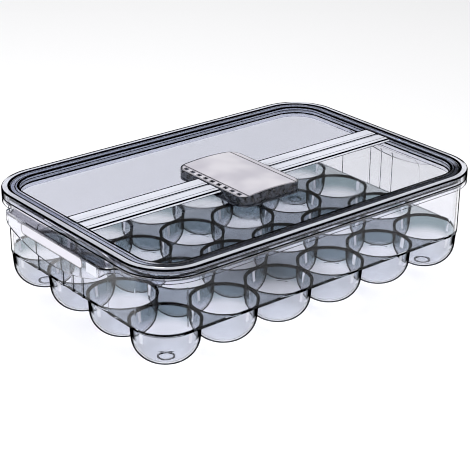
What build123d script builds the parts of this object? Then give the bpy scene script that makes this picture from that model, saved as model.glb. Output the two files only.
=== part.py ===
from build123d import *
import os
from math import hypot, sqrt

os.makedirs("parts", exist_ok=True)

# Egg storage box for a fridge shelf: a tray with a cup for each egg, and a lid that lifts off.
# Millimetres. The origin is the middle of the footprint, on the surface that the box stands on.
# X runs along the long side, through both end handles, and Z is up.

# Cups
cup_columns = 6
cup_rows = 4
cup_pitch = 50.0
cup_mouth_radius = 24.8        # outside of the cup, where it meets the deck
cup_waist_radius = 24.1        # outside of the cup, where the bowl begins
cup_bowl_radius = 18.5         # outside of the bowl's arc
cup_straight = 9.9             # height of the tapered wall above the bowl
cup_wall = 1.6
cup_mouth_round = 1.5
foot_height = 0.8
foot_radius = 6.6
foot_width = 1.4
foot_sink = 0.6                # how far a foot ring runs up into its cup's floor

# Deck and walls of the tray
deck_thickness = 1.8
wall = 1.8
wall_margin = 0.6              # from the outermost cups to the outside of the walls
wall_height = 43.4             # above the deck
wall_foot_round = 0.5

# Flange around the top of the tray
flange_reach = 6.4
flange_thickness = 2.0
flange_edge = 3.8
flange_lip = 1.8
flange_corner = 36.7           # of the flange's and the lid's outer edges

# End handles
handle_reach = 9.7             # beyond the flange
handle_half_width = 64.0
handle_corner = 8.0
handle_inner_round = 4.0
apron = 2.5
apron_drop = 19.8              # below the flange's top, in the middle
apron_bend_half_width = 50.0
apron_bend_rise = 8.4
apron_end_drop = 0.4           # below the flange's top, where the lower edge runs out

# Panel pressed into each end wall, behind the handle
panel_half_width = 44.0
panel_height = 36.0            # above the deck
panel_depth = 0.8
panel_corner = 8.0
rib_width = 1.6
rib_height = 34.0              # above the deck
rib_spacing = 12.5
rib_count = 3

# Inlay in each handle
inlay_length = 76.0
inlay_height = 7.8
inlay_thickness = 1.2
inlay_corner = 3.0
inlay_drop = 4.7               # from the flange's top to the middle of the inlay
inlay_clearance = 0.1
peg_radius = 1.5
peg_clearance = 0.06
peg_spacing = 50.0

# Lid
lid_gap = 0.2                  # between the flange and the lid's skirt
lid_height = 6.6
lid_shell = 2.0
lid_bead_width = 5.6
lid_ledge_drop = 0.6
lid_edge_round = 1.2
lid_inner_round = 0.5
rim_width = 13.2
rim_wall = 1.8
lid_panel_drop = 5.7           # from the top of the rim down to the panel
lid_panel_thickness = 2.0
plug_depth = 2.5               # below the panel

# Seal ring under the lid's rim
seal_width = 4.8
seal_gap = 0.3                 # above the flange
seal_clearance = 0.15
seal_lip_round = 0.9
keeper_wall = 1.4
keeper_depth = 2.7

# Crossbar
bar_half_width = 14.6
bar_top_half_width = 13.4
bar_rise = 5.0                 # top of the bar above the lid's panel
bar_shell = 1.6
bar_flank_rise = 1.0
bar_edge = 1.0
groove_half_width = 1.9
groove_floor_half_width = 0.7
groove_depth = 0.8
bar_end_gap = 0.2
bar_foot_length = 4.0
bar_foot_half_width = 9.0
bar_pad_height = 2.3
bar_pad_half_width = 12.5
bar_knob_gap = 0.2

# Knob
knob_length = 80.2             # across the bar
knob_width = 57.8
knob_corner = 9.2
knob_crown = 2.0               # the knob's middle above its sides, which are level with the rim
knob_inset = 0.3               # top of the knob's base below the plate's
backing_thickness = 1.4        # of the plate under the lid's panel
tunnel_clearance = 0.2
plate_length = 78.4
plate_width = 56.0
plate_corner = 8.3
plate_thickness = 1.8
plate_clearance = 0.15
plate_edge_round = 0.9
plate_band = 5.4               # from each long side of the plate in to a groove
plate_groove_width = 0.7
plate_groove_depth = 0.4
tooth_count = 9                # dark teeth of the base, let through one band of the plate
tooth_pitch = 7.8
tooth_length = 3.6             # along the band
tooth_width = 2.2
tooth_clearance = 0.1

# Screws that hold the knob, from below
screw_radius = 1.3
screw_clearance = 0.05
screw_hole_clearance = 0.3
screw_length = 7.0
screw_head_radius = 2.6
screw_head_height = 1.6
screw_spacing = 60.0
screw_slot_width = 0.8
screw_slot_depth = 0.7

# Heights that follow from the sizes above
cup_bottom = foot_height
waist_level = cup_bottom + cup_bowl_radius
deck_under = waist_level + cup_straight
deck_top = deck_under + deck_thickness
tray_top = deck_top + wall_height
lid_bottom = tray_top + lid_gap
lid_top = lid_bottom + lid_height
ledge_top = lid_top - lid_ledge_drop
rim_under = lid_top - lid_shell
panel_top = lid_top - lid_panel_drop
panel_under = panel_top - lid_panel_thickness
plug_bottom = panel_under - plug_depth
bar_top = panel_top + bar_rise
plate_under = lid_top - plate_thickness
backing_under = panel_under - backing_thickness

# Plan sizes that follow from the sizes above
corner_radius = cup_mouth_radius + wall_margin
half_x = cup_pitch * (cup_columns - 1) / 2 + corner_radius
half_y = cup_pitch * (cup_rows - 1) / 2 + corner_radius
flat_radius = cup_waist_radius - cup_bowl_radius
crown_radius = ((knob_width / 2) ** 2 + knob_crown ** 2) / (2 * knob_crown)
handle_x = half_x + flange_reach + handle_reach
rim_reach = flange_reach - rim_width
plug_reach = rim_reach + rim_wall
seal_reach = plug_reach + seal_clearance
keeper_reach = seal_reach + seal_width + seal_clearance
bar_end = half_x + rim_reach - bar_end_gap
cup_places = [
    (cup_pitch * (column - (cup_columns - 1) / 2), cup_pitch * (row - (cup_rows - 1) / 2))
    for column in range(cup_columns)
    for row in range(cup_rows)
]


def outline(reach):
    """Plan of the box's walls, grown by reach: its corners stay round the corner cups' centres."""
    return RectangleRounded(2 * (half_x + reach), 2 * (half_y + reach), corner_radius + reach)


def rim_outline(reach):
    """Plan of the flange and the lid, which have larger corners than the walls."""
    corner = flange_corner - flange_reach + reach
    return RectangleRounded(2 * (half_x + reach), 2 * (half_y + reach), corner)


def prism(plan, low, high):
    return Pos(0, 0, low) * extrude(plan, high - low)


def spun(profile):
    """Solid of revolution about Z, from a profile drawn as radius and height."""
    return revolve(Plane.XZ * profile, Axis.Z)


def across(profile, start, length):
    """Profile drawn as Y and height, carried along X."""
    return Pos(start, 0, 0) * extrude(Plane.YZ * profile, length)


def reach_at(point, corner):
    """How far a point lies outside a plan as large as the walls', with the given corners."""
    past_x = max(abs(point.X) - half_x + corner, 0)
    past_y = max(abs(point.Y) - half_y + corner, 0)
    return hypot(past_x, past_y) - corner


def edges_on(solid, level, reach, corner=flange_corner - flange_reach):
    """Edges at one height that run along rim_outline(reach), or with the walls' corners."""
    level_edges = solid.edges().filter_by_position(Axis.Z, level - 0.01, level + 0.01)
    return level_edges.filter_by(lambda edge: abs(reach_at(edge @ 0.5, corner) - reach) < 0.01)


def bowl(inset):
    """Line of one cup's wall, inset into it, from the middle of its floor up to the deck."""
    slope = Vector(cup_mouth_radius - cup_waist_radius, cup_straight).normalized()
    start = Vector(flat_radius, cup_bottom + inset)
    middle = Vector(flat_radius, waist_level)
    waist = middle + Vector(slope.Y, -slope.X) * (cup_bowl_radius - inset)
    mouth = waist + slope * ((deck_under - waist.Y) / slope.Y)
    half_way = Vector(1, -1).normalized() * (cup_bowl_radius - inset)
    return [
        Line(Vector(0, cup_bottom + inset), start),
        ThreePointArc(start, middle + half_way, waist),
        Line(waist, mouth),
    ], mouth


def cup_outside():
    """One cup as a solid, from its floor up into the deck."""
    lines, mouth = bowl(0)
    top = deck_under + deck_thickness / 2
    lines += Polyline(mouth, (mouth.X, top), (0, top), (0, cup_bottom)).edges()
    return spun(make_face(lines))


def cup_inside():
    """The space in one cup, with its mouth rounded out to the deck's top."""
    lines, mouth = bowl(cup_wall)
    round_start = Vector(mouth.X, deck_top - cup_mouth_round)
    lip = Vector(mouth.X + cup_mouth_round, deck_top)
    over = deck_top + cup_mouth_round
    lines += [
        Line(mouth, round_start),
        RadiusArc(round_start, lip, cup_mouth_round),
    ]
    lines += Polyline(lip, (lip.X, over), (0, over), (0, cup_bottom + cup_wall)).edges()
    return spun(make_face(lines))


def foot_ring():
    """Ring under a corner cup, which the box stands on."""
    ring = Circle(foot_radius) - Circle(foot_radius - foot_width)
    return prism(ring, 0, foot_height + foot_sink)


def flange_plan():
    """Plan of the flange, with its wide part over each end handle."""
    handle = RectangleRounded(2 * handle_x, 2 * handle_half_width, handle_corner)
    plan = rim_outline(flange_reach) + handle
    return offset(offset(plan, handle_inner_round), -handle_inner_round)


def apron_face():
    """Side view of a handle's apron: a wide smile, with ends that turn up into the flange."""
    middle = Vector(0, tray_top - apron_drop)
    bend = Vector(apron_bend_half_width, middle.Y + apron_bend_rise)
    end = Vector(handle_half_width, tray_top - apron_end_drop)
    smile = ThreePointArc(Vector(-bend.X, bend.Y), middle, bend)
    turn = TangentArc(bend, end, tangent=smile % 1)
    lines = [smile, turn, mirror(turn, Plane.YZ)]
    lines += [Line(end, Vector(-end.X, end.Y))]
    return make_face(lines)


def inlay_face(grow):
    """Side view of a handle's inlay, grown all round."""
    plan = RectangleRounded(inlay_length + 2 * grow, inlay_height + 2 * grow, inlay_corner + grow)
    return Pos(0, tray_top - inlay_drop) * plan


def peg_faces(radius):
    """Side view of the two pegs behind an inlay."""
    level = tray_top - inlay_drop
    return [Pos(side * peg_spacing / 2, level) * Circle(radius) for side in (-1, 1)]


def handle_cutter():
    """What the inlay takes out of the apron on the +X side."""
    pocket = across(inlay_face(inlay_clearance), handle_x - inlay_thickness, inlay_thickness)
    for peg in peg_faces(peg_radius + peg_clearance):
        pocket += across(peg, handle_x - apron, apron)
    return pocket


def end_panel_cutter():
    """Shallow panel pressed into the end wall on the +X side, with its ribs left standing."""
    low = deck_under - panel_corner
    high = deck_top + panel_height
    view = Pos(0, (low + high) / 2) * RectangleRounded(2 * panel_half_width, high - low, panel_corner)
    for number in range(rib_count):
        place = rib_spacing * (number - (rib_count - 1) / 2)
        length = deck_top + rib_height - low
        view -= Pos(place, low + length / 2) * Rectangle(rib_width, length)
    return across(view, half_x - panel_depth, panel_depth)


def make_tray():
    plan = flange_plan()
    body = prism(outline(0), deck_under, tray_top)
    body = fillet(edges_on(body, deck_under, 0, corner_radius), wall_foot_round)
    cups = [Pos(x, y, 0) * cup_outside() for x, y in cup_places]
    for x, y in cup_places:
        if abs(x) == max(p[0] for p in cup_places) and abs(y) == max(p[1] for p in cup_places):
            cups.append(Pos(x, y, 0) * foot_ring())
    flange = prism(plan, tray_top - flange_edge, tray_top)
    under = offset(plan, -flange_lip)
    flange -= prism(under, tray_top - flange_edge, tray_top - flange_thickness)
    shell = prism(plan, tray_top - apron_drop, tray_top - flange_thickness)
    shell -= prism(offset(plan, -apron), tray_top - apron_drop, tray_top - flange_thickness)
    apron_side = across(apron_face(), half_x + flange_reach - apron, handle_reach + apron)
    aprons = [shell & apron_side, shell & mirror(apron_side, Plane.YZ)]
    body = body + flange + aprons + cups
    inside = outline(-wall)
    body -= prism(inside, deck_top, tray_top)
    spaces = [Pos(x, y, 0) * cup_inside() for x, y in cup_places]
    room = prism(inside, 0, tray_top)
    body -= [space & room for space in spaces]
    for cutter in (handle_cutter(), end_panel_cutter()):
        body -= [cutter, mirror(cutter, Plane.YZ)]
    return body


def make_inlay():
    """Inlay of the +X handle, with the pegs that hold it in the apron."""
    inlay = across(inlay_face(0), handle_x - inlay_thickness, inlay_thickness)
    for peg in peg_faces(peg_radius):
        inlay += across(peg, handle_x - apron, apron - inlay_thickness)
    return inlay


def screw_places():
    return [(0, side * screw_spacing / 2) for side in (-1, 1)]


def make_lid():
    body = prism(rim_outline(flange_reach), lid_bottom, lid_top)
    body = fillet(edges_on(body, lid_top, flange_reach), lid_edge_round)
    body += prism(rim_outline(plug_reach), plug_bottom, lid_bottom)
    body -= prism(rim_outline(flange_reach - lid_bead_width), ledge_top, lid_top)
    body -= prism(rim_outline(rim_reach), panel_top, lid_top)
    body -= prism(rim_outline(rim_reach), plug_bottom, panel_under)
    channel = rim_outline(flange_reach - lid_shell) - rim_outline(plug_reach)
    body -= prism(channel, lid_bottom, rim_under)
    keeper = rim_outline(keeper_reach + keeper_wall) - rim_outline(keeper_reach)
    body += prism(keeper, rim_under - keeper_depth, rim_under)
    body = fillet(edges_on(body, ledge_top, rim_reach), lid_inner_round)
    for x, y in screw_places():
        hole = Circle(screw_radius + screw_hole_clearance)
        body -= Pos(x, y) * prism(hole, panel_under, panel_top)
    return body


def make_seal():
    inner = rim_outline(seal_reach)
    ring = rim_outline(seal_reach + seal_width) - inner
    body = prism(ring, tray_top + seal_gap, rim_under)
    lip = tray_top + seal_gap
    edges = edges_on(body, lip, seal_reach) + edges_on(body, lip, seal_reach + seal_width)
    return fillet(edges, seal_lip_round)


def make_crossbar():
    """Bar over the lid's panel, with a groove along it, end feet and a pad under the knob."""
    flank = bar_top - bar_flank_rise
    edge = flank - bar_edge
    half = [
        (bar_half_width - bar_shell, edge),
        (bar_half_width, edge),
        (bar_half_width, flank),
        (bar_top_half_width, bar_top),
        (groove_half_width, bar_top),
        (groove_floor_half_width, bar_top - groove_depth),
    ]
    ceiling = (bar_top_half_width - bar_shell, bar_top - bar_shell)
    points = [ceiling] + half + [(-y, z) for y, z in reversed(half)] + [(-ceiling[0], ceiling[1])]
    bar = across(make_face(Polyline(points, close=True)), -bar_end, 2 * bar_end)
    foot_top = bar_top - groove_depth
    foot_side = Pos(0, (panel_top + foot_top) / 2) * Rectangle(2 * bar_foot_half_width, foot_top - panel_top)
    for start in (-bar_end, -knob_width / 2 - bar_foot_length, knob_width / 2, bar_end - bar_foot_length):
        bar += across(foot_side, start, bar_foot_length)
    bar -= prism(knob_plan(bar_knob_gap), panel_top, lid_top)
    return bar + pad_block(0)


def pad_block(grow):
    """Pad of the crossbar that runs under the knob, grown at its sides and top."""
    height = bar_pad_height + grow
    side = Pos(0, panel_top + height / 2) * Rectangle(2 * (bar_pad_half_width + grow), height)
    reach = knob_width / 2 + bar_foot_length / 2
    return across(side, -reach, 2 * reach)


def crowned(plan, low, drop):
    """Solid on a plan, from one height up to the knob's crowned top, lowered by drop."""
    top = lid_top - drop + knob_crown
    crown = Pos(0, 0, top - crown_radius) * Rot(90, 0, 0) * Cylinder(crown_radius, 2 * knob_length)
    return prism(plan, low, top + knob_crown) & crown


def knob_plan(grow):
    return RectangleRounded(knob_width + 2 * grow, knob_length + 2 * grow, knob_corner + grow)


def plate_plan(grow):
    return RectangleRounded(plate_width + 2 * grow, plate_length + 2 * grow, plate_corner + grow)


def teeth(grow):
    """Row of upright blocks along the middle of the plate's left band, taller than the knob."""
    tooth = Rectangle(tooth_width + 2 * grow, tooth_length + 2 * grow)
    middle = plate_band / 2 - plate_width / 2
    rows = [(index - (tooth_count - 1) / 2) * tooth_pitch for index in range(tooth_count)]
    return [Pos(middle, y) * prism(tooth, plate_under, lid_top + 2 * knob_crown) for y in rows]


def make_knob_base():
    """Dark block that straddles the crossbar, with a pocket for the plate and teeth that stand in it."""
    body = crowned(knob_plan(0), panel_top, knob_inset)
    pocket = prism(plate_plan(plate_clearance), plate_under, lid_top + 2 * knob_crown)
    body -= pocket - teeth(0)
    body -= pad_block(tunnel_clearance)
    bore = Circle(screw_radius + screw_clearance)
    for x, y in screw_places():
        body -= Pos(x, y) * prism(bore, panel_top, plate_under)
    return body


def make_knob_plate():
    """Satin plate, crowned like the base around it, with a groove inside each of its bands."""
    body = crowned(plate_plan(0), plate_under, 0)
    top = body.faces().sort_by(Axis.Z)[-1]
    body = fillet(top.edges(), plate_edge_round)
    groove_x = plate_width / 2 - plate_band
    crown_level = lid_top + knob_crown - crown_radius + sqrt(crown_radius ** 2 - groove_x ** 2)
    groove = Rectangle(plate_groove_width, 2 * plate_length)
    for x in (-groove_x, groove_x):
        body -= Pos(x, 0) * prism(groove, crown_level - plate_groove_depth, lid_top + 2 * knob_crown)
    return body - teeth(tooth_clearance)


def make_backing():
    """Dark plate under the lid's panel, which the screws clamp against the panel."""
    body = prism(knob_plan(0), backing_under, panel_under)
    hole = Circle(screw_radius + screw_hole_clearance)
    for x, y in screw_places():
        body -= Pos(x, y) * prism(hole, backing_under, panel_under)
    return body


def make_screws():
    """Slotted screws, driven up through the backing and the lid's panel into the knob's base."""
    head_bottom = backing_under - screw_head_height
    screw = prism(Circle(screw_head_radius), head_bottom, backing_under)
    screw += prism(Circle(screw_radius), backing_under, backing_under + screw_length)
    slot = Rectangle(2 * screw_head_radius, screw_slot_width)
    screw -= prism(slot, head_bottom, head_bottom + screw_slot_depth)
    return Compound([Pos(x, y) * screw for x, y in screw_places()])


pieces = {
    "tray": make_tray(),
    "lid": make_lid(),
    "seal_ring": make_seal(),
    "crossbar": make_crossbar(),
    "knob_base": make_knob_base(),
    "knob_plate": make_knob_plate(),
    "knob_backing": make_backing(),
    "knob_screws": make_screws(),
    "grip_inlay_right": make_inlay(),
    "grip_inlay_left": mirror(make_inlay(), Plane.YZ),
}
for name, piece in pieces.items():
    export_step(piece, os.path.join("parts", name + ".step"))
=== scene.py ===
import math

import bmesh
import bpy
from mathutils import Matrix, Vector

# CAD nodes, already riding on their bodies
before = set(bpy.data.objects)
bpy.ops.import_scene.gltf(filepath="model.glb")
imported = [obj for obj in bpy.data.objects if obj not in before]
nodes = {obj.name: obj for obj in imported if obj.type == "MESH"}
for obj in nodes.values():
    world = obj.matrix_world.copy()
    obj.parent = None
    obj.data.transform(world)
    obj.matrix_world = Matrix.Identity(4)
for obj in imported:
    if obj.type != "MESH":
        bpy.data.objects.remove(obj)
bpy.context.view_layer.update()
print("frame loaded:", len(nodes), "nodes")

softEdge = 0.0002             # over which a line or a tint fades out, where its look says nothing else


# #rrggbb as the linear colour that a shader wants
def srgb(text):
    parts = [int(text[i:i + 2], 16) / 255 for i in (1, 3, 5)]
    linear = [c / 12.92 if c <= 0.04045 else ((c + 0.055) / 1.055) ** 2.4 for c in parts]
    return (*linear, 1.0)


# Into one socket: a hex colour, a number or another node's output
def feed(tree, socket, term):
    if isinstance(term, str):
        socket.default_value = srgb(term)
    elif isinstance(term, (int, float)):
        socket.default_value = term
    else:
        tree.links.new(term, socket)


# One node, with its settings and what goes into its sockets
def addNode(tree, kind, inputs=None, **settings):
    node = tree.nodes.new(kind)
    for name, value in settings.items():
        setattr(node, name, value)
    for socket, term in (inputs or {}).items():
        feed(tree, node.inputs[socket], term)
    return node


# Result of one sum, with an output or a number for each term
def work(tree, operation, *terms):
    return addNode(tree, "ShaderNodeMath", dict(enumerate(terms)), operation=operation).outputs[0]


# A value carried from one range to another, smoothly and clamped
def ramp(tree, value, low, high, atLow=0.0, atHigh=1.0):
    ranges = {"Value": value, "From Min": low, "From Max": high, "To Min": atLow, "To Max": atHigh}
    return addNode(tree, "ShaderNodeMapRange", ranges, interpolation_type="SMOOTHSTEP").outputs["Result"]


# 1 above the start, over a fade
def above(tree, value, start, fade=softEdge):
    return ramp(tree, value, start, start + fade)


# 1 below the start, over a fade that lies above it
def below(tree, value, start, fade=softEdge):
    return ramp(tree, value, start, start + fade, 1.0, 0.0)


# 1 within reach of a middle value
def band(tree, value, middle, reach, fade=softEdge):
    return below(tree, work(tree, "ABSOLUTE", work(tree, "SUBTRACT", value, middle)), reach, fade)


# 1 where every one of the values is 1
def both(tree, *values):
    result = values[0]
    for value in values[1:]:
        result = work(tree, "MULTIPLY", result, value)
    return result


# 1 where at least one of the values is 1
def either(tree, *values):
    result = values[0]
    for value in values[1:]:
        result = work(tree, "MAXIMUM", result, value)
    return result


# Distance across two sides that stand at a right angle
def distance(tree, sides):
    squares = [work(tree, "MULTIPLY", side, side) for side in sides]
    return work(tree, "SQRT", work(tree, "ADD", *squares))


# Two shader nodes mixed into one
def mixShaders(tree, factor, first, second):
    return addNode(tree, "ShaderNodeMixShader", {0: factor, 1: first.outputs[0], 2: second.outputs[0]})


def mixColours(tree, factor, first, second):
    inputs = {"Factor": factor, "A": first, "B": second}
    return addNode(tree, "ShaderNodeMix", inputs, data_type="RGBA").outputs["Result"]


def newMaterial(name):
    material = bpy.data.materials.new(name)
    material.use_nodes = True
    material.node_tree.nodes.clear()
    return material, material.node_tree


# A point's place on its piece, whole and in its three parts
def placeNodes(tree):
    place = addNode(tree, "ShaderNodeTexCoord").outputs["Object"]
    return place, addNode(tree, "ShaderNodeSeparateXYZ", {"Vector": place}).outputs


# The three parts of a face's normal
def normalParts(tree):
    geometry = addNode(tree, "ShaderNodeNewGeometry")
    return addNode(tree, "ShaderNodeSeparateXYZ", {"Vector": geometry.outputs["Normal"]}).outputs


# How far a face turns away from the viewer, from 0 to 1
def turning(tree):
    return addNode(tree, "ShaderNodeLayerWeight").outputs["Facing"]


# 1 on faces that are met from outside the plastic
def fromOutside(tree):
    return work(tree, "SUBTRACT", 1.0, addNode(tree, "ShaderNodeNewGeometry").outputs["Backfacing"])


# Plan of the tray's walls, which the lid's rim follows
wallPlan = {
    "halfLength": 0.1504,
    "halfWidth": 0.1004,
    "corner": 0.0303,         # of the lid's corners, brought in to the walls
}


# How far a point lies outside the walls' plan
def outsideWalls(tree, split):
    past = []
    for axis, half in (("X", wallPlan["halfLength"]), ("Y", wallPlan["halfWidth"])):
        away = work(tree, "SUBTRACT", work(tree, "ABSOLUTE", split[axis]), half - wallPlan["corner"])
        past.append(work(tree, "MAXIMUM", away, 0.0))
    return work(tree, "SUBTRACT", distance(tree, past), wallPlan["corner"])


# Shared by everything that is clear, and by the painted shade along the edges of the opaque pieces
clearLook = {
    "ior": 1.5,
    "specular": "#5c5c60",    # weak reflections, so that the cups show through the lid
    "rippleLength": 0.035,
    "rippleDepth": 0.00002,
    "rippleDetail": 1.0,
    "rippleRoughness": 0.4,
    "rippleStrength": 0.35,
    "rippleRange": (0.3, 0.7),
    "gloss": (0.0, 0.04),     # roughness at the two ends of that range
    # dark see-through film of the painted shade along edges and turned-away faces
    "paintedShadeColour": "#0d0f15",
    # pale surface, for real clouding and for painted highlights
    "milkAndHighlightColour": "#f0f2fb",
    "milkAndHighlightRoughness": 0.25,
    "shadow": "#fdfdfe",      # what one surface leaves of the light that falls through it
    "level": (0.9, 0.97),     # upward part of a normal, over which a face counts as level
    "edge": (0.985, 0.998),   # likeness of an edge's rounded and plain normals
    "edgeSamples": 4,
}


# How near a face is to an edge, from 0 to 1 within the reach
def nearEdges(tree, reach):
    rounded = addNode(tree, "ShaderNodeBevel", {"Radius": reach}, samples=clearLook["edgeSamples"])
    plain = addNode(tree, "ShaderNodeNewGeometry")
    normals = {0: rounded.outputs["Normal"], 1: plain.outputs["Normal"]}
    alike = addNode(tree, "ShaderNodeVectorMath", normals, operation="DOT_PRODUCT")
    return ramp(tree, alike.outputs["Value"], *clearLook["edge"], 1.0, 0.0)


# Where a face that isn't level turns away from the viewer, so that light from inside is lost
def turnedAway(tree, start, end):
    upright = work(tree, "ABSOLUTE", normalParts(tree)["Z"])
    notLevel = ramp(tree, upright, *clearLook["level"], 1.0, 0.0)
    return both(tree, ramp(tree, turning(tree), start, end), notLevel)


# Clear injection-moulded plastic, hard and glossy, with faint flow ripples in its highlights. The
# tint colours the light that passes. lines is where painted shade, a dark see-through film, stands in
# for the dark edges that refraction gives. milkAndHighlight is where a pale surface covers it: real
# clouding on the seal and the crossbar, and painted highlights on the tray and on the lid's bead.
def clearPlastic(tree, place, tint, lines, milkAndHighlight):
    noise = {
        "Vector": place,
        "Scale": 1 / clearLook["rippleLength"],
        "Detail": clearLook["rippleDetail"],
        "Roughness": clearLook["rippleRoughness"],
    }
    ripple = addNode(tree, "ShaderNodeTexNoise", noise).outputs["Fac"]
    relief = {
        "Height": ripple,
        "Strength": clearLook["rippleStrength"],
        "Distance": clearLook["rippleDepth"],
    }
    plastic = addNode(tree, "ShaderNodeBsdfPrincipled", {
        "Base Color": tint,
        "Roughness": ramp(tree, ripple, *clearLook["rippleRange"], *clearLook["gloss"]),
        "IOR": clearLook["ior"],
        "Transmission Weight": 1.0,
        "Specular Tint": clearLook["specular"],
        "Normal": addNode(tree, "ShaderNodeBump", relief).outputs["Normal"],
    })
    pale = addNode(tree, "ShaderNodeBsdfPrincipled", {
        "Base Color": clearLook["milkAndHighlightColour"],
        "Roughness": clearLook["milkAndHighlightRoughness"],
    })
    dark = addNode(tree, "ShaderNodeBsdfTransparent", {"Color": clearLook["paintedShadeColour"]})
    through = addNode(tree, "ShaderNodeBsdfTransparent", {"Color": clearLook["shadow"]})
    lined = mixShaders(tree, lines, mixShaders(tree, milkAndHighlight, plastic, pale), dark)
    shadowRay = addNode(tree, "ShaderNodeLightPath").outputs["Is Shadow Ray"]
    surface = mixShaders(tree, shadowRay, lined, through)
    addNode(tree, "ShaderNodeOutputMaterial", {"Surface": surface.outputs[0]})


# The tray's tints and lines, and the places in the CAD where they lie
trayLook = {
    "upperWalls": "#f8f8fb",
    "cups": "#e0e2e7",
    # painted shade on the far inner sides of the cups, where the view passes more walls
    "cupShade": "#8a9aa0",
    "deck": "#b0babd",
    # painted shade on the handles' tops, under the lid's skirt
    "handleTopShade": "#a4a4ae",
    "pitch": 0.050,
    "deckTop": 0.031,
    "wallFoot": (0.0004, 0.0006),     # from the deck up to where the walls grow clearer, and its fade
    "level": (0.80, 0.95),            # upward part of a normal, over which a face counts as deck
    "mouthRadius": 0.0241,
    "mouthReach": 0.0009,
    "lipDepth": 0.0008,
    "footTop": 0.0006,
    "shadeHeights": (0.014, 0.024),          # heights between which the painted shade on the far sides of the cups grows and how far they turn from the viewer before that painted shade clears
    "shadeTurn": (0.34, 0.50),        # and how far they turn from the viewer before they clear
    "inward": (-0.014, -0.006),       # how far a face looks back at its cup's axis
    "outward": (0.0, 0.002),          # and how far it looks away from it
    "innerTurn": (0.74, 0.82),        # how far a face turns away where it goes dark, in each place
    "outerTurn": (0.62, 0.74),
    "straightTurn": (0.48, 0.66),
    "straightFoot": (0.020, 0.002),   # height from which the cups' walls are straight, and its fade
    "straightReach": 0.0249,
    "glint": (0.40, 0.025, 0.03),     # turn at which a painted glint lies on a straight wall, its reach and its fade
    "glintStrength": (0.85, 0.45),        # strength of that painted glint on the cups' inside and outside
    "edgeReach": 0.0010,
    "upperEdges": 0.6,                # strength of the dark edges above the deck
}
handleLook = {
    "reach": (0.0068, 0.0005),        # from the walls out to where the handles begin, and its fade
    "low": 0.072,
    "halfWidth": (0.058, 0.003),
    "apronReach": 0.0158,
    "endHighlight": (0.0490, 0.0060),     # painted highlight near each end of an apron, along Y
    "endHighlightHeight": (0.0698, 0.0034),
    "endHighlightStrength": 0.85,
}


# Where a point lies from the axis of the nearest cup, along X and along Y
def fromCupAxis(tree, split):
    half = trayLook["pitch"] / 2
    return [work(tree, "WRAP", work(tree, "SUBTRACT", split[axis], half), half, -half) for axis in "XY"]


# 1 on the handles' tops, where shade under the lid is painted, and 1 near the ends of their aprons, where
# a highlight is painted
def handleParts(tree, split):
    look = handleLook
    outside = outsideWalls(tree, split)
    # Painted shade on the handles' tops
    tops = both(
        tree,
        above(tree, outside, *look["reach"]),
        above(tree, split["Z"], look["low"]),
        band(tree, split["Y"], 0.0, *look["halfWidth"]),
    )
    # Painted highlight near each end of an apron
    ends = both(
        tree,
        above(tree, outside, look["apronReach"]),
        band(tree, work(tree, "ABSOLUTE", split["Y"]), *look["endHighlight"]),
        band(tree, split["Z"], *look["endHighlightHeight"]),
        look["endHighlightStrength"],
    )
    return tops, ends


# Polystyrene of the tray: painted shade in its cups and on its handle tops, a greyer deck,
# painted dark lines at its cups' mouths and edges, and painted glints on their walls
def trayPolystyrene():
    look = trayLook
    material, tree = newMaterial("clearPolystyreneTray")
    place, split = placeNodes(tree)
    height = split["Z"]
    offsets = fromCupAxis(tree, split)
    fromAxis = distance(tree, offsets)
    normal = normalParts(tree)
    met = fromOutside(tree)
    outward = work(
        tree, "ADD",
        work(tree, "MULTIPLY", offsets[0], normal["X"]),
        work(tree, "MULTIPLY", offsets[1], normal["Y"]),
    )
    outer = ramp(tree, outward, *look["outward"])
    footStart, footFade = look["wallFoot"]
    lower = below(tree, height, look["deckTop"] + footStart, footFade)
    handleTopShade, endHighlight = handleParts(tree, split)

    # Painted shade on the far inner sides of the cups, where the view passes more walls
    cupShade = both(
        tree,
        ramp(tree, outward, *look["inward"], 1.0, 0.0),
        ramp(tree, turning(tree), *look["shadeTurn"], 1.0, 0.0),
        ramp(tree, height, *look["shadeHeights"]),
        below(tree, height, look["deckTop"]),
    )
    onDeck = both(
        tree,
        band(tree, height, look["deckTop"], softEdge),
        ramp(tree, normal["Z"], *look["level"]),
        met,
    )
    tint = look["upperWalls"]
    for share, name in ((lower, "cups"), (cupShade, "cupShade"), (onDeck, "deck"), (handleTopShade, "handleTopShade")):
        tint = mixColours(tree, share, tint, look[name])

    mouth = both(
        tree,
        band(tree, fromAxis, look["mouthRadius"], look["mouthReach"]),
        band(tree, height, look["deckTop"] - look["lipDepth"], look["lipDepth"]),
    )
    foot = below(tree, height, look["footTop"])
    straight = both(
        tree,
        above(tree, height, *look["straightFoot"]),
        below(tree, fromAxis, look["straightReach"]),
        lower,
    )
    turned = either(
        tree,
        turnedAway(tree, *look["innerTurn"]),
        both(tree, turnedAway(tree, *look["outerTurn"]), outer, lower),
        both(tree, turnedAway(tree, *look["straightTurn"]), outer, straight),
    )
    edges = both(
        tree,
        nearEdges(tree, look["edgeReach"]),
        ramp(tree, lower, 0.0, 1.0, look["upperEdges"], 1.0),
    )
    # Painted shade: dark lines where faces turn away, along edges, round the mouths and at the feet
    lines = either(tree, both(tree, either(tree, turned, edges), met), mouth, foot)
    # Painted glints, as pale patches, on the cups' straight walls
    glint = both(
        tree,
        band(tree, turning(tree), *look["glint"]),
        ramp(tree, outward, *look["outward"], *look["glintStrength"]),
        straight,
    )
    milkAndHighlight = both(tree, either(tree, endHighlight, glint), met)
    clearPlastic(tree, place, tint, lines, milkAndHighlight)
    return material


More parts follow.
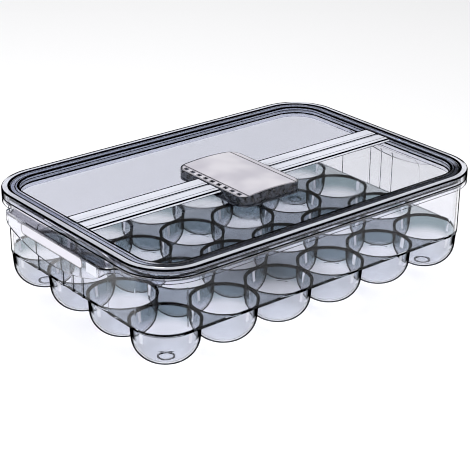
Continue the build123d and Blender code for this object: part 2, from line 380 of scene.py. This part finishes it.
# Lines and bands lie at a middle and a reach, from the walls' plan outwards or up from the ground
lidLook = {
    # near and far are the same plastic; the far half is painted darker, as shade
    "near": "#f6f7fb",
    "far": "#e3e5ee",
    "middle": 0.010,                  # half width of the change from near to far
    "rimTop": 0.0799,
    "topLines": ((-0.0060, 0.0009), (0.0009, 0.0009), (0.0061, 0.0005)),
    "farLine": (0.0050, 0.0009),      # makes the outermost line wider on the far sides
    "farFade": 0.002,
    "outerFace": 0.0062,
    "outerLow": 0.0757,
    "innerFace": -0.0066,
    "innerBack": (0.0009, 0.0002),    # from the inner face back to where its lines begin, and its fade
    "innerLines": ((0.0759, 0.0004), (0.0785, 0.0002)),
    "faceFade": 0.0001,
    "turn": (0.54, 0.76),             # how far the outer face turns away where it goes dark
    # where a painted highlight lies on the outer bead's top
    "bead": (0.0034, 0.0018, 0.0004),
    "beadHighlightStrength": 0.45,
    "nearBand": (-0.0032, 0.0026, 0.0008),    # painted shade over the seal, on the near long side
    "nearSide": (-0.090, -0.080),
    "nearDark": 0.88,
}


# Polystyrene of the lid, with painted dark lines along its rim's edges, painted shade over the seal
# and on its far half, and a painted highlight on the top of its outer bead
def lidPolystyrene():
    look = lidLook
    material, tree = newMaterial("clearPolystyreneLid")
    place, split = placeNodes(tree)
    height = split["Z"]
    outside = outsideWalls(tree, split)
    top = above(tree, height, look["rimTop"])
    farSides = either(tree, *[
        ramp(tree, split[axis], half - look["farFade"], half + look["farFade"])
        for axis, half in (("X", wallPlan["halfLength"]), ("Y", wallPlan["halfWidth"]))
    ])
    onOuter = above(tree, outside, look["outerFace"], look["faceFade"])
    innerBack, backFade = look["innerBack"]
    onInner = both(
        tree,
        below(tree, outside, look["innerFace"], look["faceFade"]),
        above(tree, outside, look["innerFace"] - innerBack, backFade),
    )

    topLines = [band(tree, outside, *line) for line in look["topLines"]]
    topLines.append(both(tree, band(tree, outside, *look["farLine"]), farSides))
    # Painted shade over the seal on the near long side
    topLines.append(both(
        tree,
        band(tree, outside, *look["nearBand"]),
        ramp(tree, split["Y"], *look["nearSide"], look["nearDark"], 0.0),
    ))
    # Painted shade: dark lines along the rim's edges, on its outer face where it turns away, and on its
    # inner face
    lines = either(
        tree,
        both(tree, either(tree, *topLines), top),
        both(tree, below(tree, height, look["outerLow"]), onOuter),
        both(tree, turnedAway(tree, *look["turn"]), onOuter),
        both(tree, either(tree, *[band(tree, height, *line) for line in look["innerLines"]]), onInner),
    )
    # Painted shade: the far half of the lid darker than the near half
    farther = ramp(tree, split["Y"], -look["middle"], look["middle"])
    tint = mixColours(tree, farther, look["near"], look["far"])
    # Painted highlight on the top of the outer bead
    beadHighlight = both(tree, band(tree, outside, *look["bead"]), top, look["beadHighlightStrength"])
    clearPlastic(tree, place, tint, both(tree, lines, fromOutside(tree)), beadHighlight)
    return material


barLook = {
    "tint": "#fafafc",
    "milk": 0.5,
    "lines": (                        # middle along Y, reach and strength
        (-0.0133, 0.0007, 1.0), (-0.0092, 0.0003, 0.8), (0.0003, 0.0011, 1.0), (0.0034, 0.0003, 0.5),
        (0.0128, 0.0006, 1.0),
    ),
    "topLow": 0.0796,
    "flankLow": 0.0788,
}


# Polystyrene of the crossbar: paler than the lid, with painted dark lines along its edges and its groove
def barPolystyrene():
    look = barLook
    material, tree = newMaterial("paleClearPolystyreneBar")
    place, split = placeNodes(tree)
    # Painted shade: dark lines along the bar's edges and groove, and on its flanks
    lines = either(tree, *[
        both(tree, band(tree, split["Y"], middle, reach), strength)
        for middle, reach, strength in look["lines"]
    ])
    lined = either(
        tree,
        both(tree, lines, above(tree, split["Z"], look["topLow"])),
        below(tree, split["Z"], look["flankLow"]),
    )
    clearPlastic(tree, place, look["tint"], both(tree, lined, fromOutside(tree)), look["milk"])
    return material


sealLook = {
    "tint": "#b7bcc4",
    "milk": 0.16,
    "ribs": (-0.0036, -0.0003),       # middles of the two ribs, from the walls' plan outwards
    "ribReach": 0.0003,
    "top": 0.0790,
}


# Translucent moulded silicone, smoky, with a painted dark line along each of its ribs
def sealSilicone():
    look = sealLook
    material, tree = newMaterial("smokySiliconeMoulded")
    place, split = placeNodes(tree)
    outside = outsideWalls(tree, split)
    # Painted shade: a dark line along each rib
    ribs = either(tree, *[band(tree, outside, rib, look["ribReach"]) for rib in look["ribs"]])
    lines = both(tree, ribs, above(tree, split["Z"], look["top"]))
    clearPlastic(tree, place, look["tint"], lines, look["milk"])
    return material


# Shared by the opaque pieces. A mould's own grain, about 0.2 mm, is too fine to show from here, so
# the grain sizes below are coarser.
opaqueLook = {
    "depth": 0.00002,
    "detail": 3.0,
    "coarseness": 0.6,
    "strength": 0.5,
    "range": (0.3, 0.7),              # of the grain, over which the roughness changes
    "spread": 0.06,                   # of the roughness, to each side
    "cloudDetail": 2.0,
    "cloudRange": (0.35, 0.65),
}
# Moulded ABS, dark and glossy, with small paler clouds as in smoky plastic
knobBaseLook = {"colour": "#0d0e13", "roughness": 0.16, "grain": 0.003, "clouds": ("#454954", 0.003)}
# Moulded ABS, slate grey with a dull shine
knobBackingLook = {"colour": "#2a2d36", "roughness": 0.3, "grain": 0.003}
# Moulded ABS with a satin finish, silver white, with wide soft clouds and painted shade along its edges
knobPlateLook = {
    "colour": "#d3d0d7",
    "roughness": 0.34,
    "grain": 0.0008,
    "clouds": ("#bab7c1", 0.035),     # colour and size
    "edgeReach": 0.0009,
}
# Moulded ABS with a satin finish, nearly white, with painted shade along its edges
inlayLook = {"colour": "#e8e6f0", "roughness": 0.4, "grain": 0.0008, "edgeReach": 0.0014}
# Zinc-plated steel, a dull grey metal
screwLook = {"colour": "#c6c8cc", "roughness": 0.35, "grain": 0.001, "metallic": 1.0}


# Opaque surface with a fine grain from its mould or plating, which scatters its highlights a little.
# Its colour clouds slightly, and painted shade darkens it along its edges where the look says so.
def opaqueSurface(name, look):
    material, tree = newMaterial(name)
    place = addNode(tree, "ShaderNodeTexCoord").outputs["Object"]
    noise = {
        "Vector": place,
        "Scale": 1 / look["grain"],
        "Detail": opaqueLook["detail"],
        "Roughness": opaqueLook["coarseness"],
    }
    grain = addNode(tree, "ShaderNodeTexNoise", noise).outputs["Fac"]
    relief = {"Height": grain, "Strength": opaqueLook["strength"], "Distance": opaqueLook["depth"]}
    colour = look["colour"]
    if "clouds" in look:
        cloudColour, size = look["clouds"]
        noise = {"Vector": place, "Scale": 1 / size, "Detail": opaqueLook["cloudDetail"]}
        cloud = addNode(tree, "ShaderNodeTexNoise", noise).outputs["Fac"]
        colour = mixColours(tree, ramp(tree, cloud, *opaqueLook["cloudRange"]), colour, cloudColour)
    # Painted shade along the edges
    if "edgeReach" in look:
        colour = mixColours(tree, nearEdges(tree, look["edgeReach"]), colour, clearLook["paintedShadeColour"])
    smoothest = look["roughness"] - opaqueLook["spread"]
    roughest = look["roughness"] + opaqueLook["spread"]
    surface = addNode(tree, "ShaderNodeBsdfPrincipled", {
        "Base Color": colour,
        "Metallic": look.get("metallic", 0.0),
        "Roughness": ramp(tree, grain, *opaqueLook["range"], smoothest, roughest),
        "Normal": addNode(tree, "ShaderNodeBump", relief).outputs["Normal"],
    })
    addNode(tree, "ShaderNodeOutputMaterial", {"Surface": surface.outputs["BSDF"]})
    return material


def dress(material, *names):
    for name in names:
        mesh = nodes[name].data
        mesh.materials.clear()
        mesh.materials.append(material)


dress(trayPolystyrene(), "tray")
dress(lidPolystyrene(), "lid")
dress(barPolystyrene(), "crossbar")
dress(sealSilicone(), "seal_ring")
dress(opaqueSurface("absMouldedDark", knobBaseLook), "knob_base")
dress(opaqueSurface("absMouldedSlate", knobBackingLook), "knob_backing")
dress(opaqueSurface("absSatinPlate", knobPlateLook), "knob_plate")
dress(opaqueSurface("absSatinInlay", inlayLook), "grip_inlay_left", "grip_inlay_right")
dress(opaqueSurface("steelZincPlated", screwLook), "knob_screws")
print("CAD nodes dressed")


camera = {
    "azimuth": -39.513,
    "elevation": 24.235,
    "roll": 0.57,
    "distance": 1.087756,
    "target": (-0.014297, -0.013540, 0.040),
    "focal": 1457.28 / 470,           # in frame widths
    "sensor": 36.0,
    "clip": (0.05, 50),
}


def setCamera():
    az, el, roll = (math.radians(camera[k]) for k in ("azimuth", "elevation", "roll"))
    back = Vector((math.sin(az) * math.cos(el), -math.cos(az) * math.cos(el), math.sin(el)))
    right = Vector((math.cos(az), math.sin(az), 0))
    up = back.cross(right)
    turnedRight = right * math.cos(roll) + up * math.sin(roll)
    turnedUp = up * math.cos(roll) - right * math.sin(roll)
    turn = Matrix((turnedRight, turnedUp, back)).transposed()
    place = Vector(camera["target"]) + back * camera["distance"]
    data = bpy.data.cameras.new("productCamera")
    data.sensor_width = camera["sensor"]
    data.lens = camera["focal"] * camera["sensor"]
    data.clip_start, data.clip_end = camera["clip"]
    lens = bpy.data.objects.new("productCamera", data)
    lens.matrix_world = Matrix.Translation(place) @ turn.to_4x4()
    bpy.context.scene.collection.objects.link(lens)
    bpy.context.scene.camera = lens


stage = {
    "floorSize": 12.0,
    "floor": "#f7f7f8",
    "floorRoughness": 0.9,
    "floorSpecular": 0.1,
    "world": "#ffffff",
    "worldLight": 0.6,
    "wall": (0.15, 0.4),              # heights of a direction, as sines, between which the wall darkens
    "ceiling": 0.08,
}


# A wide sheet of matt white paper
def setFloor():
    shape = bmesh.new()
    bmesh.ops.create_grid(shape, x_segments=1, y_segments=1, size=stage["floorSize"] / 2)
    mesh = bpy.data.meshes.new("floor")
    shape.to_mesh(mesh)
    shape.free()
    floor = bpy.data.objects.new("floor", mesh)
    bpy.context.scene.collection.objects.link(floor)
    material, tree = newMaterial("paperSweepWhite")
    paper = addNode(tree, "ShaderNodeBsdfPrincipled", {
        "Base Color": stage["floor"],
        "Roughness": stage["floorRoughness"],
        "Specular IOR Level": stage["floorSpecular"],
    })
    addNode(tree, "ShaderNodeOutputMaterial", {"Surface": paper.outputs["BSDF"]})
    mesh.materials.append(material)


# Even white light, and for what the camera, glass and gloss see of it a white wall under a dark ceiling
def setWorld():
    world = bpy.data.worlds.new("studio")
    world.use_nodes = True
    tree = world.node_tree
    tree.nodes.clear()
    path = addNode(tree, "ShaderNodeLightPath")
    seen = either(tree, *[path.outputs[f"Is {kind} Ray"] for kind in ("Camera", "Glossy", "Transmission")])
    toward = addNode(tree, "ShaderNodeTexCoord").outputs["Generated"]
    rise = addNode(tree, "ShaderNodeSeparateXYZ", {"Vector": toward}).outputs["Z"]
    wall = ramp(tree, rise, *stage["wall"], 1.0, stage["ceiling"])
    strengths = {"Factor": seen, "A": stage["worldLight"], "B": wall}
    strength = addNode(tree, "ShaderNodeMix", strengths, data_type="FLOAT").outputs[0]
    light = addNode(tree, "ShaderNodeBackground", {"Color": stage["world"], "Strength": strength})
    addNode(tree, "ShaderNodeOutputWorld", {"Surface": light.outputs["Background"]})
    bpy.context.scene.world = world


lamps = {
    "topLamp": {"place": (-0.3, 0.1, 1.5), "aim": (0, 0, 0), "size": (1.2, 1.2), "power": 15},
    "sideLamp": {"place": (-1.4, -0.9, 1.0), "aim": (0, 0, 0.03), "size": (0.9, 0.7), "power": 6},
}


def softLamp(name, look):
    data = bpy.data.lights.new(name, "AREA")
    data.shape = "RECTANGLE"
    data.size, data.size_y = look["size"]
    data.energy = look["power"]
    lamp = bpy.data.objects.new(name, data)
    turn = (Vector(look["place"]) - Vector(look["aim"])).to_track_quat("Z", "Y").to_matrix()
    lamp.matrix_world = Matrix.Translation(look["place"]) @ turn.to_4x4()
    bpy.context.scene.collection.objects.link(lamp)


# Enough bounces for light to pass all the walls that lie behind one another
cyclesSettings = {
    "max_bounces": 48,
    "transmission_bounces": 48,
    "transparent_max_bounces": 48,
    "glossy_bounces": 6,
    "diffuse_bounces": 3,
    "filter_width": 1.0,
}

setCamera()
setFloor()
setWorld()
for lampName, lampLook in lamps.items():
    softLamp(lampName, lampLook)
bpy.context.scene.view_settings.view_transform = "Standard"
for setting, value in cyclesSettings.items():
    setattr(bpy.context.scene.cycles, setting, value)
print("stage set")
